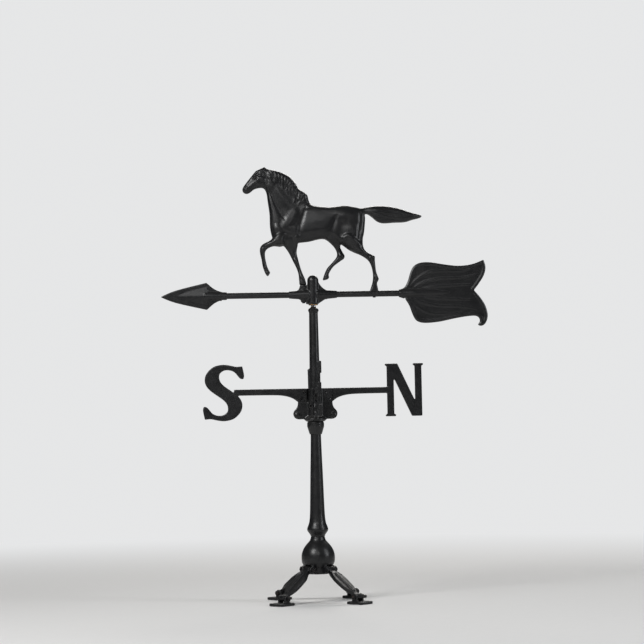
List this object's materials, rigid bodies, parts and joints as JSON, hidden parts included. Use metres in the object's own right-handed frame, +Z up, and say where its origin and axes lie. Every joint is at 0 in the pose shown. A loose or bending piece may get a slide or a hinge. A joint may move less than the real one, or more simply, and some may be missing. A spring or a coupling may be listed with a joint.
{
  "type": "weather vane",
  "caption": "Roof-mounted weather vane: a running horse on a spinning arrow, over a compass cross on a tapered mast with hinged legs and swivelling feet.",
  "frame": {"origin": "on the mast's axis, level with the undersides of the four feet", "axes": "+Z up along the mast, -X where the arrow points at rest (the horse's nose), +X north, +Y west"},
  "size_m": [0.759, 0.525, 1.007],
  "materials": {
    "black_casting": "cast aluminium with a satin black coating, worn at its edges",
    "black_fastener": "black oxide steel",
    "steel": "turned, satin",
    "bronze": "oiled sintered bronze"
  },
  "bodies": {
    "mount": {"center_rod": "steel", "mast_cap": "black_casting", "upper_mast": "black_casting", "lower_mast": "black_casting", "support_collar": "black_casting", "collar_set_screw": "black_fastener", "mount_head": "black_casting", "rod_washer": "steel", "rod_nut": "steel", "leg_bolts": "black_fastener", "leg_nuts": "black_fastener"},
    "vane": {"horse_figure": "black_casting", "figure_screws": "black_fastener", "arrow_hub": "black_casting", "front_shaft": "black_casting", "rear_shaft": "black_casting", "arrowhead": "black_casting", "arrow_tail": "black_casting", "arrow_set_screws": "black_fastener", "upper_bushing": "bronze", "lower_bushing": "bronze", "bearing_ball": "steel"},
    "compass": {"compass_hub": "black_casting", "north_arm": "black_casting", "south_arm": "black_casting", "east_arm": "black_casting", "west_arm": "black_casting", "arm_screws": "black_fastener", "hub_set_screws": "black_fastener"},
    "leg_north_west": {"leg_north_west": "black_casting"},
    "foot_north_west": {"foot_north_west": "black_casting", "foot_bolt_north_west": "black_fastener"},
    "leg_south_west": {"leg_south_west": "black_casting"},
    "foot_south_west": {"foot_south_west": "black_casting", "foot_bolt_south_west": "black_fastener"},
    "leg_south_east": {"leg_south_east": "black_casting"},
    "foot_south_east": {"foot_south_east": "black_casting", "foot_bolt_south_east": "black_fastener"},
    "leg_north_east": {"leg_north_east": "black_casting"},
    "foot_north_east": {"foot_north_east": "black_casting", "foot_bolt_north_east": "black_fastener"}
  },
  "joints": [
    {"name": "vane_spin", "type": "hinge", "parent": "mount", "child": "vane", "pos_m": [0, 0, 0.707], "axis": [0, 0, 1], "continuous": true},
    {"name": "compass_turn", "type": "hinge", "parent": "mount", "child": "compass", "pos_m": [0, 0, 0.45], "axis": [0, 0, 1], "continuous": true},
    {"name": "knee_north_west", "type": "hinge", "parent": "mount", "child": "leg_north_west", "pos_m": [0.02404, 0.02404, 0.074], "axis": [-0.7071, 0.7071, 0], "range_deg": [-20, 20]},
    {"name": "ankle_north_west", "type": "hinge", "parent": "leg_north_west", "child": "foot_north_west", "pos_m": [0.08344, 0.08344, 0.016], "axis": [-0.7071, 0.7071, 0], "range_deg": [-35, 40]},
    {"name": "knee_south_west", "type": "hinge", "parent": "mount", "child": "leg_south_west", "pos_m": [-0.02404, 0.02404, 0.074], "axis": [-0.7071, -0.7071, 0], "range_deg": [-20, 20]},
    {"name": "ankle_south_west", "type": "hinge", "parent": "leg_south_west", "child": "foot_south_west", "pos_m": [-0.08344, 0.08344, 0.016], "axis": [-0.7071, -0.7071, 0], "range_deg": [-35, 40]},
    {"name": "knee_south_east", "type": "hinge", "parent": "mount", "child": "leg_south_east", "pos_m": [-0.02404, -0.02404, 0.074], "axis": [0.7071, -0.7071, 0], "range_deg": [-20, 20]},
    {"name": "ankle_south_east", "type": "hinge", "parent": "leg_south_east", "child": "foot_south_east", "pos_m": [-0.08344, -0.08344, 0.016], "axis": [0.7071, -0.7071, 0], "range_deg": [-35, 40]},
    {"name": "knee_north_east", "type": "hinge", "parent": "mount", "child": "leg_north_east", "pos_m": [0.02404, -0.02404, 0.074], "axis": [0.7071, 0.7071, 0], "range_deg": [-20, 20]},
    {"name": "ankle_north_east", "type": "hinge", "parent": "leg_north_east", "child": "foot_north_east", "pos_m": [0.08344, -0.08344, 0.016], "axis": [0.7071, 0.7071, 0], "range_deg": [-35, 40]}
  ]
}
